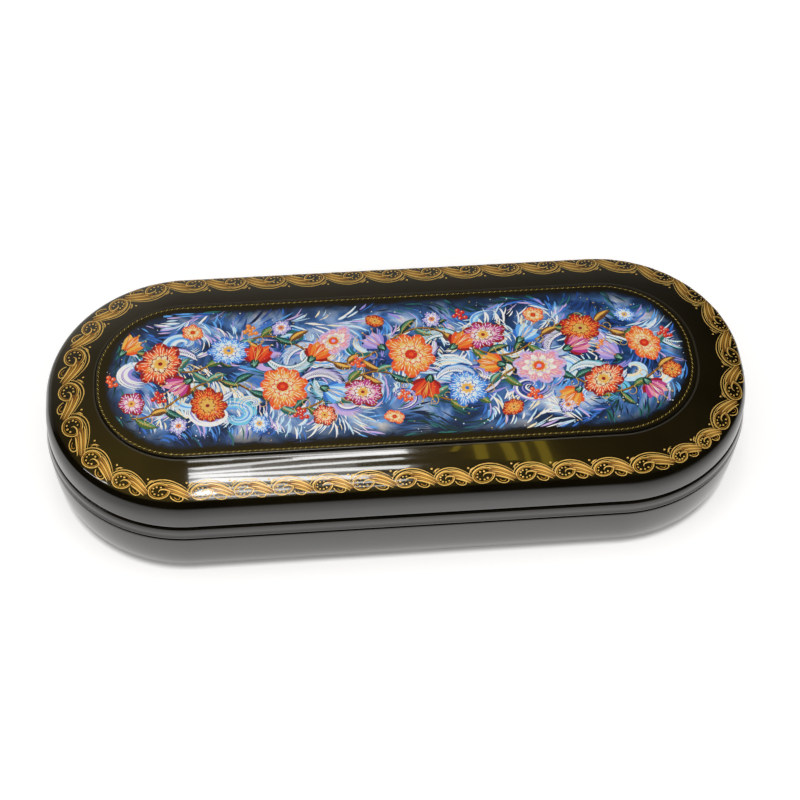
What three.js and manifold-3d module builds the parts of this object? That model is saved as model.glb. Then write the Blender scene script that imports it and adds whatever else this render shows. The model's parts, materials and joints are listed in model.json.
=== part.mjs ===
// Eyeglass case: a shallow box of black-lacquered papier-mache with round ends.
// The lid turns on two small brass hinges at the back. A painted oval panel is
// let into the domed top, and both halves are lined with red velvet.
// Units are millimetres. X runs along the case, +Y points to the hinges and the
// case stands on Z = 0, with the origin at the middle of its flat underside.

import * as THREE from "three";
import { mergeVertices } from "three/addons/utils/BufferGeometryUtils.js";
import Module from "manifold-3d";

// Plan, measured round the rim band. The ends are half rounds with a short flat.
const CASE_LENGTH = 171.5;
const CASE_WIDTH = 73;
const END_FLAT = 3.4;

// Heights of the stacked parts as they show on the front.
const BASE_HEIGHT = 14.55;
const BAND_HEIGHT = 3.35;
const LID_WALL_HEIGHT = 8.15;

// Walls and edges.
const WALL = 3.4;
const FLOOR = 2.8;
const BASE_STEP = 0.2;
const EDGE_ROUND = 0.4;

// The base wall curves in towards the underside from just below its top edge.
const BELLY_DEPTH = 3.4;
const BELLY_MARGIN = 1.55;

// Lid: the wall leans in more and more, then a round shoulder leads to the dome.
const LID_STEP = 0.5;
const LID_LEAN = 12;
const SHOULDER_ROUND = 2.4;
const DOME_SLOPE_OUTER = 18;
const DOME_SLOPE_INNER = 9;
const LID_THICKNESS = 2.5;
const COVE_WIDTH = 6.5;
const COVE_DROP = 1.9;

// Oval panel that carries the painting.
const PANEL_MARGIN = 13.2;
const PANEL_RECESS = 1.05;
const PANEL_PROUD = 0.35;
const PANEL_BEVEL = 0.3;
const PANEL_CROWN = 0.8;

// Rim ring: its tongue sits in the base wall and its lip locates the lid.
const LIP_THICKNESS = 1.1;
const LIP_RISE = 2.6;
const LIP_BEVEL = 0.4;
const TONGUE_DEPTH = 2;

// Velvet linings.
const LINING = 0.9;
const FLOOR_PAD = 1.4;
const PAD_ROUND = 0.3;
const LINING_SETBACK = 1.2;

// Hinges.
const HINGE_SPACING = 56;
const HINGE_WIDTH = 16;
const CENTRE_KNUCKLE = 6;
const KNUCKLE_RADIUS = 1.5;
const LEAF_THICKNESS = 0.8;
const BASE_LEAF_HEIGHT = 9;
const LID_LEAF_HEIGHT = 4.7;
const POCKET_DEPTH = 0.7;
const PIN_RADIUS = 0.6;
const PIN_HEAD_RADIUS = 1;
const PIN_HEAD = 0.5;
const STOP_RISE = 0.8;
const STOP_THICKNESS = 0.6;
const OPEN_ANGLE = 105;

// Nails that hold the hinge leaves.
const NAIL_RADIUS = 0.35;
const NAIL_HEAD_RADIUS = 0.8;
const NAIL_HEAD = 0.45;
const NAIL_LENGTH = 3;
const NAIL_SPACING = 10;
const NAIL_EDGE = 1.05;

// Clearances.
const SEAT_GAP = 0.3;
const LIP_GAP = 0.4;
const PIN_GAP = 0.2;
const STOP_GAP = 0.05;

// Facets.
const CORNER_STEPS = 12;
const ROUND_STEPS = 5;
const BELLY_STEPS = 7;
const WALL_STEPS = 3;
const DOME_STEPS = 5;
const CROWN_STEPS = 4;
const KNUCKLE_STEPS = 18;
const BORE_STEPS = 16;
const NAIL_STEPS = 12;

const manifold = await Module();
manifold.setup();

const radians = THREE.MathUtils.degToRad;
const endRadius = (CASE_WIDTH - END_FLAT) / 2;
const spineHalfLength = CASE_LENGTH / 2 - endRadius;
const spineHalfWidth = END_FLAT / 2;

// Insets are measured inwards from the band's outer face.
const innerFace = BASE_STEP + WALL;
const lipFace = innerFace - LIP_THICKNESS;
const baseRebate = lipFace - SEAT_GAP;
const lidRebate = lipFace - LIP_GAP;
const liningFace = innerFace + SEAT_GAP;

const rimBottom = BASE_HEIGHT + SEAT_GAP;
const rimTop = rimBottom + BAND_HEIGHT;
const lidBottom = rimTop + SEAT_GAP;
const lipTop = rimTop + LIP_RISE;
const lidLedge = lipTop + LIP_GAP;
const shoulderPlane = lidBottom + LID_WALL_HEIGHT;

// The leaves lie in shallow pockets in the back, with the pin level with the seam.
const pocketFace = CASE_WIDTH / 2 - POCKET_DEPTH;
const leafFace = pocketFace + SEAT_GAP;
const leafBack = leafFace + LEAF_THICKNESS;
const pinY = leafFace + KNUCKLE_RADIUS;
const pinZ = (rimTop + lidBottom) / 2;

// Points of a level ring round the case, counter-clockwise from above.
function ring([inset, z]) {
  const radius = endRadius - inset;
  const points = [];
  for (let corner = 0; corner < 4; corner += 1) {
    const sideX = corner === 0 || corner === 3 ? 1 : -1;
    const sideY = corner < 2 ? 1 : -1;
    for (let step = 0; step <= CORNER_STEPS; step += 1) {
      const angle = (corner + step / CORNER_STEPS) * Math.PI / 2;
      const x = sideX * spineHalfLength + radius * Math.cos(angle);
      const y = sideY * spineHalfWidth + radius * Math.sin(angle);
      points.push(new THREE.Vector3(x, y, z));
    }
  }
  return points;
}

// Skin through a list of [inset, z] points. An open profile starts with a face
// that looks down and ends with one that looks up; a closed one makes a hoop.
function sweep(profile, closed = false) {
  const rings = profile.map(ring);
  const count = rings[0].length;
  const positions = rings.flat().flatMap((point) => point.toArray());
  const index = [];
  const bands = closed ? rings.length : rings.length - 1;
  for (let band = 0; band < bands; band += 1) {
    const low = band * count;
    const high = ((band + 1) % rings.length) * count;
    for (let step = 0; step < count; step += 1) {
      const next = (step + 1) % count;
      index.push(low + step, low + next, high + next);
      index.push(low + step, high + next, high + step);
    }
  }
  if (!closed) {
    const last = (rings.length - 1) * count;
    const flatten = (points) => points.map((point) => new THREE.Vector2(point.x, point.y));
    for (const [a, b, c] of THREE.ShapeUtils.triangulateShape(flatten(rings[0]), [])) {
      index.push(a, c, b);
    }
    for (const [a, b, c] of THREE.ShapeUtils.triangulateShape(flatten(rings.at(-1)), [])) {
      index.push(last + a, last + b, last + c);
    }
  }
  const geometry = new THREE.BufferGeometry();
  geometry.setAttribute("position", new THREE.Float32BufferAttribute(positions, 3));
  geometry.setIndex(index);
  return geometry;
}

// Points on an arc in a profile; an angle of 0 points outwards and 90 up.
function arc(inset, z, radius, start, end, steps, rise = radius) {
  const points = [];
  for (let step = 0; step <= steps; step += 1) {
    const angle = radians(THREE.MathUtils.lerp(start, end, step / steps));
    points.push([inset - radius * Math.cos(angle), z + rise * Math.sin(angle)]);
  }
  return points;
}

function toSolid(geometry) {
  const bare = geometry.clone();
  bare.deleteAttribute("normal");
  bare.deleteAttribute("uv");
  const merged = mergeVertices(bare, 1e-5);
  return new manifold.Manifold(new manifold.Mesh({
    numProp: 3,
    vertProperties: new Float32Array(merged.attributes.position.array),
    triVerts: new Uint32Array(merged.index.array),
  }));
}

function toGeometry(solid) {
  const mesh = solid.getMesh();
  const geometry = new THREE.BufferGeometry();
  geometry.setAttribute("position", new THREE.BufferAttribute(mesh.vertProperties, 3));
  geometry.setIndex(new THREE.BufferAttribute(mesh.triVerts, 1));
  return geometry;
}

// Box between two corners.
function block([x0, y0, z0], [x1, y1, z1]) {
  const box = new THREE.BoxGeometry(x1 - x0, y1 - y0, z1 - z0);
  return toSolid(box.translate((x0 + x1) / 2, (y0 + y1) / 2, (z0 + z1) / 2));
}

// Solid with a section in the YZ plane that runs along X between two stations.
function alongX(shape, x0, x1) {
  const solid = new THREE.ExtrudeGeometry(shape, { depth: x1 - x0, bevelEnabled: false });
  const axes = new THREE.Matrix4().makeBasis(
    new THREE.Vector3(0, 1, 0),
    new THREE.Vector3(0, 0, 1),
    new THREE.Vector3(1, 0, 0),
  );
  return toSolid(solid.applyMatrix4(axes).translate(x0, 0, 0));
}

function lacquer() {
  return new THREE.MeshStandardMaterial({ color: 0x0b0906, roughness: 0.08, metalness: 0 });
}

function painting() {
  return new THREE.MeshStandardMaterial({ color: 0x35568f, roughness: 0.1, metalness: 0 });
}

function velvet() {
  return new THREE.MeshStandardMaterial({ color: 0x6e0d12, roughness: 0.95, metalness: 0 });
}

function brass() {
  return new THREE.MeshStandardMaterial({ color: 0xc49a4a, roughness: 0.3, metalness: 1 });
}

// Base shell: flat underside, curved wall and a rebate for the rim ring.
function baseShell() {
  const rise = BASE_HEIGHT - BELLY_MARGIN;
  return sweep([
    ...arc(BASE_STEP + BELLY_DEPTH, rise, BELLY_DEPTH, -90, 0, BELLY_STEPS, rise),
    ...arc(BASE_STEP + EDGE_ROUND, BASE_HEIGHT - EDGE_ROUND, EDGE_ROUND, 0, 90, 2),
    [baseRebate, BASE_HEIGHT],
    [baseRebate, BASE_HEIGHT - TONGUE_DEPTH],
    [innerFace, BASE_HEIGHT - TONGUE_DEPTH],
    [innerFace, FLOOR],
  ]);
}

function rimRing() {
  return sweep([
    ...arc(EDGE_ROUND, rimBottom + EDGE_ROUND, EDGE_ROUND, -90, 0, 2),
    ...arc(EDGE_ROUND, rimTop - EDGE_ROUND, EDGE_ROUND, 0, 90, 2),
    [lipFace, rimTop],
    [lipFace, lipTop - LIP_BEVEL],
    [lipFace + LIP_BEVEL, lipTop],
    [innerFace, lipTop],
    [innerFace, BASE_HEIGHT - TONGUE_DEPTH + SEAT_GAP],
    [lipFace, BASE_HEIGHT - TONGUE_DEPTH + SEAT_GAP],
    [lipFace, rimBottom],
  ], true);
}

// Outer skin of the lid from the seam to the edge of the panel's recess.
function lidSkin() {
  const lean = radians(LID_LEAN);
  const centre = shoulderPlane - SHOULDER_ROUND;
  const foot = lidBottom + EDGE_ROUND;
  const wallRise = centre + SHOULDER_ROUND * Math.sin(lean) - foot;
  const draft = wallRise * Math.tan(lean) / 2;
  const wall = [];
  for (let step = 1; step < WALL_STEPS; step += 1) {
    const part = step / WALL_STEPS;
    wall.push([LID_STEP + draft * part * part, foot + wallRise * part]);
  }
  const middle = LID_STEP + draft + SHOULDER_ROUND * Math.cos(lean);
  const turn = 90 - DOME_SLOPE_OUTER;
  const shoulder = arc(middle, centre, SHOULDER_ROUND, LID_LEAN, turn, ROUND_STEPS);
  const [startInset, startZ] = shoulder.at(-1);
  const run = PANEL_MARGIN - SEAT_GAP - startInset;
  const outer = Math.tan(radians(DOME_SLOPE_OUTER));
  const inner = Math.tan(radians(DOME_SLOPE_INNER));
  const dome = [];
  for (let step = 1; step <= DOME_STEPS; step += 1) {
    const part = step / DOME_STEPS;
    const rise = run * (outer * part + (inner - outer) * part * part / 2);
    dome.push([startInset + run * part, startZ + rise]);
  }
  return [
    ...arc(LID_STEP + EDGE_ROUND, foot, EDGE_ROUND, -90, 0, 2),
    ...wall,
    ...shoulder,
    ...dome,
  ];
}

const skin = lidSkin();
const [recessInset, recessEdge] = skin.at(-1);
const recessFloor = recessEdge - PANEL_RECESS;
const ceiling = recessFloor - LID_THICKNESS;

function lidShell() {
  return sweep([
    [innerFace + COVE_WIDTH, ceiling],
    [innerFace, ceiling - COVE_DROP],
    [innerFace, lidLedge],
    [lidRebate, lidLedge],
    [lidRebate, lidBottom],
    ...skin,
    [recessInset, recessFloor],
  ]);
}

// Painted panel: a thin oval plaque with a bevelled edge and a slight crown.
function picturePanel() {
  const edge = recessEdge + PANEL_PROUD;
  const start = PANEL_MARGIN + PANEL_BEVEL;
  const run = endRadius - 1 - start;
  const crown = [];
  for (let step = 0; step <= CROWN_STEPS; step += 1) {
    const part = step / CROWN_STEPS;
    crown.push([start + run * part, edge + PANEL_CROWN * (2 * part - part * part)]);
  }
  return sweep([
    [PANEL_MARGIN, recessFloor + SEAT_GAP],
    [PANEL_MARGIN, edge - PANEL_BEVEL],
    ...crown,
  ]);
}

const padBottom = FLOOR + SEAT_GAP;
const padTop = padBottom + FLOOR_PAD;

// The wall lining stands on the floor, and the pad is pressed in between it.
function wallLining() {
  return sweep([
    [liningFace, padBottom],
    [liningFace, lipTop - LINING_SETBACK],
    [liningFace + LINING, lipTop - LINING_SETBACK],
    [liningFace + LINING, padBottom],
  ], true);
}

function floorPad() {
  const side = liningFace + LINING + SEAT_GAP;
  return sweep([
    [side, padBottom],
    ...arc(side + PAD_ROUND, padTop - PAD_ROUND, PAD_ROUND, 0, 90, 2),
  ]);
}

// The lid's lining is a shallow cup that follows the cove of the lid.
function lidLining() {
  const top = ceiling - SEAT_GAP;
  return sweep([
    [liningFace + COVE_WIDTH + LINING / 2, top - LINING],
    [liningFace + LINING, top - LINING - COVE_DROP],
    [liningFace + LINING, lidLedge],
    [liningFace, lidLedge],
    [liningFace, top - COVE_DROP],
    [liningFace + COVE_WIDTH, top],
  ]);
}

// Section of a rolled knuckle and the leaf that runs up or down from it.
function knuckleSection(direction, reach) {
  const shape = new THREE.Shape();
  const tangent = Math.acos((KNUCKLE_RADIUS - LEAF_THICKNESS) / KNUCKLE_RADIUS);
  const sweepAngle = 2 * Math.PI - tangent;
  shape.moveTo(leafFace, pinZ + direction * reach);
  for (let step = 0; step <= KNUCKLE_STEPS; step += 1) {
    const angle = Math.PI - sweepAngle * step / KNUCKLE_STEPS;
    const y = pinY + KNUCKLE_RADIUS * Math.cos(angle);
    shape.lineTo(y, pinZ - direction * KNUCKLE_RADIUS * Math.sin(angle));
  }
  shape.lineTo(leafBack, pinZ + direction * reach);
  const bore = new THREE.Path();
  for (let step = 0; step < BORE_STEPS; step += 1) {
    const angle = 2 * Math.PI * step / BORE_STEPS;
    const radius = PIN_RADIUS + PIN_GAP;
    const y = pinY + radius * Math.cos(angle);
    const z = pinZ + radius * Math.sin(angle);
    if (step === 0) {
      bore.moveTo(y, z);
    } else {
      bore.lineTo(y, z);
    }
  }
  shape.holes.push(bore);
  return shape;
}

function nailPlaces(centreX, direction, leafHeight) {
  const z = pinZ + direction * (leafHeight - NAIL_EDGE);
  return [-1, 1].map((side) => [centreX + side * NAIL_SPACING / 2, leafBack, z]);
}

function nailHole([x, y, z]) {
  const length = NAIL_LENGTH + SEAT_GAP + NAIL_HEAD;
  const hole = new THREE.CylinderGeometry(
    NAIL_RADIUS + SEAT_GAP,
    NAIL_RADIUS + SEAT_GAP,
    length,
    NAIL_STEPS,
  );
  return toSolid(hole.translate(x, y + NAIL_HEAD - length / 2, z));
}

// A leaf with its knuckles: the base leaf has the two outer ones and hangs
// down, the lid leaf has the middle one and stands up.
function leaf(centreX, direction, leafHeight, knuckles) {
  const section = knuckleSection(direction, leafHeight);
  const half = HINGE_WIDTH / 2;
  const near = pinZ + direction * (KNUCKLE_RADIUS + SEAT_GAP);
  const far = pinZ + direction * leafHeight;
  let solid = block(
    [centreX - half, leafFace, Math.min(near, far)],
    [centreX + half, leafBack, Math.max(near, far)],
  );
  for (const [from, to] of knuckles) {
    solid = solid.add(alongX(section, centreX + from, centreX + to));
  }
  for (const place of nailPlaces(centreX, direction, leafHeight)) {
    solid = solid.subtract(nailHole(place));
  }
  return solid;
}

function baseLeaf(centreX) {
  const half = HINGE_WIDTH / 2;
  const inner = CENTRE_KNUCKLE / 2 + SEAT_GAP;
  return toGeometry(leaf(centreX, -1, BASE_LEAF_HEIGHT, [[-half, -inner], [inner, half]]));
}

// The lid leaf's knuckle carries a nib that meets the base leaf when the lid
// stands at its open angle.
function lidLeaf(centreX) {
  const half = CENTRE_KNUCKLE / 2;
  const reach = KNUCKLE_RADIUS + STOP_RISE;
  const ahead = Math.atan2(STOP_THICKNESS / 2, reach);
  const corner = Math.hypot(STOP_THICKNESS / 2, reach);
  const landing = Math.acos((LEAF_THICKNESS - KNUCKLE_RADIUS + STOP_GAP) / corner) - ahead;
  const start = PIN_RADIUS + PIN_GAP + STOP_THICKNESS / 2;
  const nib = new THREE.BoxGeometry(2 * half, reach - start, STOP_THICKNESS);
  nib.translate(centreX, (reach + start) / 2, 0);
  nib.rotateX(radians(OPEN_ANGLE) - landing);
  nib.translate(0, pinY, pinZ);
  const solid = leaf(centreX, 1, LID_LEAF_HEIGHT, [[-half, half]]);
  return toGeometry(solid.add(toSolid(nib)));
}

// Pin with a peened head at each end.
function pin(centreX) {
  const half = HINGE_WIDTH / 2 + PIN_GAP;
  const profile = [
    [0, -half - PIN_HEAD],
    [PIN_HEAD_RADIUS, -half - PIN_HEAD],
    [PIN_HEAD_RADIUS, -half],
    [PIN_RADIUS, -half],
    [PIN_RADIUS, half],
    [PIN_HEAD_RADIUS, half],
    [PIN_HEAD_RADIUS, half + PIN_HEAD],
    [0, half + PIN_HEAD],
  ];
  const points = profile.map(([radius, along]) => new THREE.Vector2(radius, along));
  const geometry = new THREE.LatheGeometry(points, BORE_STEPS);
  return geometry.rotateZ(-Math.PI / 2).translate(centreX, pinY, pinZ);
}

function nail() {
  const profile = [
    [0, -NAIL_LENGTH],
    [NAIL_RADIUS, -NAIL_LENGTH + NAIL_RADIUS],
    [NAIL_RADIUS, 0],
    [NAIL_HEAD_RADIUS, 0],
    [NAIL_HEAD_RADIUS * 0.8, NAIL_HEAD * 0.7],
    [0, NAIL_HEAD],
  ];
  const points = profile.map(([radius, along]) => new THREE.Vector2(radius, along));
  return new THREE.LatheGeometry(points, NAIL_STEPS);
}

// Shallow pocket that lets a leaf and its barrel into the back of a piece.
function pocket(centreX, low, high) {
  const half = HINGE_WIDTH / 2 + PIN_GAP + PIN_HEAD + SEAT_GAP;
  return block([centreX - half, pocketFace, low], [centreX + half, pinY, high]);
}

const hingeSides = [["left", -HINGE_SPACING / 2], ["right", HINGE_SPACING / 2]];

let base = toSolid(baseShell());
let rim = toSolid(rimRing());
let lid = toSolid(lidShell());
for (const [, centreX] of hingeSides) {
  const leafEnd = pinZ - BASE_LEAF_HEIGHT - SEAT_GAP;
  base = base.subtract(pocket(centreX, leafEnd, BASE_HEIGHT + SEAT_GAP / 2));
  rim = rim.subtract(pocket(centreX, BASE_HEIGHT, rimTop + SEAT_GAP / 2));
  lid = lid.subtract(pocket(centreX, rimTop, pinZ + LID_LEAF_HEIGHT + SEAT_GAP));
  for (const place of nailPlaces(centreX, -1, BASE_LEAF_HEIGHT)) {
    base = base.subtract(nailHole(place));
  }
  for (const place of nailPlaces(centreX, 1, LID_LEAF_HEIGHT)) {
    lid = lid.subtract(nailHole(place));
  }
}

function piece(name, geometry, material) {
  const mesh = new THREE.Mesh(geometry, material);
  mesh.name = name;
  return mesh;
}

const baseGroup = new THREE.Group();
const lidGroup = new THREE.Group();
baseGroup.add(piece("base_shell", toGeometry(base), lacquer()));
baseGroup.add(piece("rim_ring", toGeometry(rim), lacquer()));
baseGroup.add(piece("base_floor_pad", floorPad(), velvet()));
baseGroup.add(piece("base_wall_lining", wallLining(), velvet()));
lidGroup.add(piece("lid_shell", toGeometry(lid), lacquer()));
lidGroup.add(piece("lid_lining", lidLining(), velvet()));
lidGroup.add(piece("picture_panel", picturePanel(), painting()));

for (const [side, centreX] of hingeSides) {
  baseGroup.add(piece(`${side}_hinge_base_leaf`, baseLeaf(centreX), brass()));
  baseGroup.add(piece(`${side}_hinge_pin`, pin(centreX), brass()));
  lidGroup.add(piece(`${side}_hinge_lid_leaf`, lidLeaf(centreX), brass()));
  for (const [name, direction, leafHeight, group] of [
    ["base", -1, BASE_LEAF_HEIGHT, baseGroup],
    ["lid", 1, LID_LEAF_HEIGHT, lidGroup],
  ]) {
    nailPlaces(centreX, direction, leafHeight).forEach((place, number) => {
      const mesh = piece(`${side}_hinge_${name}_nail_${number + 1}`, nail(), brass());
      mesh.position.set(...place);
      group.add(mesh);
    });
  }
}

const eyeglassCase = new THREE.Group();
eyeglassCase.add(baseGroup, lidGroup);

export default eyeglassCase;
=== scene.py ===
import json
import math
import random

import bpy
import numpy as np
from mathutils import Matrix, Vector, noise as field


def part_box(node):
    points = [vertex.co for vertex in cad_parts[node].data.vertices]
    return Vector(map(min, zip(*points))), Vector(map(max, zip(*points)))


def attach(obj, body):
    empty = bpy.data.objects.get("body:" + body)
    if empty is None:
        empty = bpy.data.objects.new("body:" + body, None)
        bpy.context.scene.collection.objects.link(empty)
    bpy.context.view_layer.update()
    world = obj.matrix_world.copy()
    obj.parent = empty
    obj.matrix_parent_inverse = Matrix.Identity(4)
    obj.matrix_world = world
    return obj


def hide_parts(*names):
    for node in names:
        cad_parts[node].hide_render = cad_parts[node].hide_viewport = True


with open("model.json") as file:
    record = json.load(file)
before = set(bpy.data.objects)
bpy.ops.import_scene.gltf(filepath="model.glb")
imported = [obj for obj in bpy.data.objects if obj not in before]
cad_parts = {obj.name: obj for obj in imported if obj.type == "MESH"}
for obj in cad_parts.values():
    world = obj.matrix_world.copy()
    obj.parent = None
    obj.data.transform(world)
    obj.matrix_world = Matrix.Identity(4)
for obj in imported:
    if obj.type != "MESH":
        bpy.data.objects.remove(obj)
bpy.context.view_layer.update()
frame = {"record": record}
MM = 0.001


def span(node):
    """Lowest and highest corner of a CAD node, in millimetres."""
    return [[round(value / MM, 3) for value in corner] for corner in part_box(node)]


# Plan and heights: the driving sizes from the frame, the rest as in the CAD.
rim_low, rim_high = span("rim_ring")
LENGTH = rim_high[0] - rim_low[0]
WIDTH = rim_high[1] - rim_low[1]
BASE_HEIGHT = span("base_shell")[1][2]
END_FLAT = 3.4
END_RADIUS = (WIDTH - END_FLAT) / 2
HALF_X = LENGTH / 2 - END_RADIUS
HALF_Y = END_FLAT / 2
SEAT_GAP = 0.3
LIP_GAP = 0.4
BASE_STEP = 0.2
BELLY_DEPTH = 3.4
BELLY_MARGIN = 1.55
BELLY_HEIGHT = BASE_HEIGHT - BELLY_MARGIN
EDGE_ROUND = 0.4
INNER_FACE = 3.6
LIP_FACE = 2.5
TONGUE = 2.0
RIM_BOTTOM = BASE_HEIGHT + SEAT_GAP
BAND_HEIGHT = 3.35
LIP_HEIGHT = 2.6
RIM_TOP = RIM_BOTTOM + BAND_HEIGHT
LIP_TOP = RIM_TOP + LIP_HEIGHT
LID_BOTTOM = RIM_TOP + SEAT_GAP
LID_LEDGE = LIP_TOP + LIP_GAP
FLOOR = 2.8
LID_STEP = 0.5
LID_LEAN = 12
SHOULDER_ROUND = 2.4
LID_WALL_HEIGHT = 8.15
SHOULDER_PLANE = LID_BOTTOM + LID_WALL_HEIGHT
SLOPE_OUTER = math.radians(18)
SLOPE_INNER = math.radians(9)
PANEL_MARGIN = 13.2
RECESS_INSET = PANEL_MARGIN - SEAT_GAP
PANEL_RECESS = 1.05
PANEL_PROUD = 0.35
PANEL_BEVEL = 0.3
PANEL_CROWN = 0.8
LID_THICKNESS = 2.5
COVE_WIDTH = 6.5
COVE_DROP = 1.9

# Hinge sizes, as in the CAD.
OPEN_ANGLE = math.radians(frame["record"]["behaviour"]["joints"][0]["range_deg"][1])
HINGE_X = 28.0
HINGE_WIDTH = 16.0
CENTRE_KNUCKLE = 6.0
KNUCKLE_RADIUS = 1.5
BORE_RADIUS = 0.8
LEAF_THICKNESS = 0.8
BASE_LEAF = 9.0
LID_LEAF = 4.7
NAIL_EDGE = 1.05
NAIL_SPREAD = 5
POCKET_DEPTH = 0.7
POCKET_FACE = WIDTH / 2 - POCKET_DEPTH
LEAF_FACE = POCKET_FACE + SEAT_GAP
LEAF_BACK = LEAF_FACE + LEAF_THICKNESS
PIN_Y = LEAF_FACE + KNUCKLE_RADIUS
PIN_Z = (RIM_TOP + LID_BOTTOM) / 2
POCKET_ROOM = 1.0
POCKET_HALF = HINGE_WIDTH / 2 + POCKET_ROOM
POCKET_CORNER = 0.02


# Meshes -------------------------------------------------------------------

def make_object(name, verts, faces, materials, slots=None, sharp=40):
    mesh = bpy.data.meshes.new(name)
    mesh.from_pydata((np.asarray(verts) * MM).tolist(), [], faces)
    for finish in materials:
        mesh.materials.append(finish)
    if slots is not None:
        mesh.polygons.foreach_set("material_index", slots)
    mesh.polygons.foreach_set("use_smooth", [True] * len(mesh.polygons))
    mesh.update()
    mesh.set_sharp_from_angle(angle=math.radians(sharp))
    obj = bpy.data.objects.new(name, mesh)
    bpy.context.scene.collection.objects.link(obj)
    return obj


def stations(steps, pockets):
    """Centre, outward direction and pocket flag of each point of a level ring."""
    out = []
    for corner in range(4):
        cx = HALF_X if corner in (0, 3) else -HALF_X
        cy = HALF_Y if corner < 2 else -HALF_Y
        for step in range(steps + 1):
            angle = (corner + step / steps) * math.pi / 2
            out.append((cx, cy, math.cos(angle), math.sin(angle), 0))
        for middle in (HINGE_X, -HINGE_X) if corner == 0 and pockets else ():
            for x, flag in (
                (POCKET_HALF + POCKET_CORNER, 0), (POCKET_HALF, 1),
                (-POCKET_HALF, 1), (-POCKET_HALF - POCKET_CORNER, 0),
            ):
                out.append((middle + x, cy, 0, 1, flag))
    return np.array(out)


def skin(count, rings, closed):
    """Faces over rings of points, with a cap at each end unless it is closed."""
    faces = []
    for band in range(rings if closed else rings - 1):
        low, high = band * count, (band + 1) % rings * count
        for i in range(count):
            j = (i + 1) % count
            faces.append((low + i, low + j, high + j, high + i))
    if not closed:
        faces.append(tuple(reversed(range(count))))
        faces.append(tuple(range((rings - 1) * count, rings * count)))
    return faces


def loft(name, profile, materials, closed=False, pockets=False, steps=64, sharp=40):
    """Skin through level rings. A profile point is an inset and a height, and a
    third value where the hinge pockets don't reach it."""
    ring = stations(steps, pockets)
    count = len(ring)
    verts = []
    for inset, z, *whole in profile:
        radius = END_RADIUS - inset
        xyz = np.column_stack([
            ring[:, 0] + radius * ring[:, 2],
            ring[:, 1] + radius * ring[:, 3],
            np.full(count, z),
        ])
        if not whole:
            inside = ring[:, 4] > 0
            xyz[inside, 1] = np.minimum(xyz[inside, 1], POCKET_FACE)
        verts.append(xyz)
    faces = skin(count, len(profile), closed)
    return make_object(name, np.vstack(verts), faces, materials, sharp=sharp)


def arc(inset, z, radius, start, end, steps):
    points = []
    for step in range(steps + 1):
        angle = math.radians(start + (end - start) * step / steps)
        points.append((inset - radius * math.cos(angle), z + radius * math.sin(angle)))
    return points


# Lid surface --------------------------------------------------------------

LEAN = math.radians(LID_LEAN)
SHOULDER_Z = SHOULDER_PLANE - SHOULDER_ROUND
WALL_FOOT = LID_BOTTOM + EDGE_ROUND
WALL_RISE = SHOULDER_Z + SHOULDER_ROUND * math.sin(LEAN) - WALL_FOOT
DRAFT = WALL_RISE * math.tan(LEAN) / 2
SHOULDER_INSET = LID_STEP + DRAFT + SHOULDER_ROUND * math.cos(LEAN)
DOME_START = SHOULDER_INSET - SHOULDER_ROUND * math.sin(SLOPE_OUTER)
DOME_Z = SHOULDER_Z + SHOULDER_ROUND * math.cos(SLOPE_OUTER)
DOME_RUN = RECESS_INSET - DOME_START
TAN_OUTER = math.tan(SLOPE_OUTER)
TAN_INNER = math.tan(SLOPE_INNER)


def lid_height(inset):
    """Height and slope of the lid's top at an inset, for an array of insets."""
    inset = np.asarray(inset, float)
    part = (inset - DOME_START) / DOME_RUN
    z = DOME_Z + DOME_RUN * (TAN_OUTER * part + (TAN_INNER - TAN_OUTER) * part ** 2 / 2)
    slope = np.arctan(TAN_OUTER + (TAN_INNER - TAN_OUTER) * part)
    across = np.clip((SHOULDER_INSET - inset) / SHOULDER_ROUND, -1, 1)
    round_z = SHOULDER_Z + SHOULDER_ROUND * np.sqrt(np.maximum(1 - across ** 2, 0))
    on_round = inset < DOME_START
    return np.where(on_round, round_z, z), np.where(on_round, np.arcsin(across), slope)


def lid_top(inset):
    return float(lid_height(inset)[0])


RECESS_EDGE = lid_top(RECESS_INSET)
RECESS_FLOOR = RECESS_EDGE - PANEL_RECESS
CEILING = RECESS_FLOOR - LID_THICKNESS
PANEL_EDGE = RECESS_EDGE + PANEL_PROUD
CROWN_START = PANEL_MARGIN + PANEL_BEVEL
CROWN_END = END_RADIUS - 1
CROWN_RUN = CROWN_END - CROWN_START


def crown_height(inset):
    part = np.clip((np.asarray(inset, float) - CROWN_START) / CROWN_RUN, 0, 1)
    return PANEL_EDGE + PANEL_CROWN * (2 * part - part ** 2)


def inset_of(xy):
    dx = np.maximum(np.abs(xy[:, 0]) - HALF_X, 0)
    dy = np.maximum(np.abs(xy[:, 1]) - HALF_Y, 0)
    return END_RADIUS - np.hypot(dx, dy)


def panel_surface(xy, lift):
    return np.column_stack([xy, crown_height(inset_of(xy)) + lift])


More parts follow.
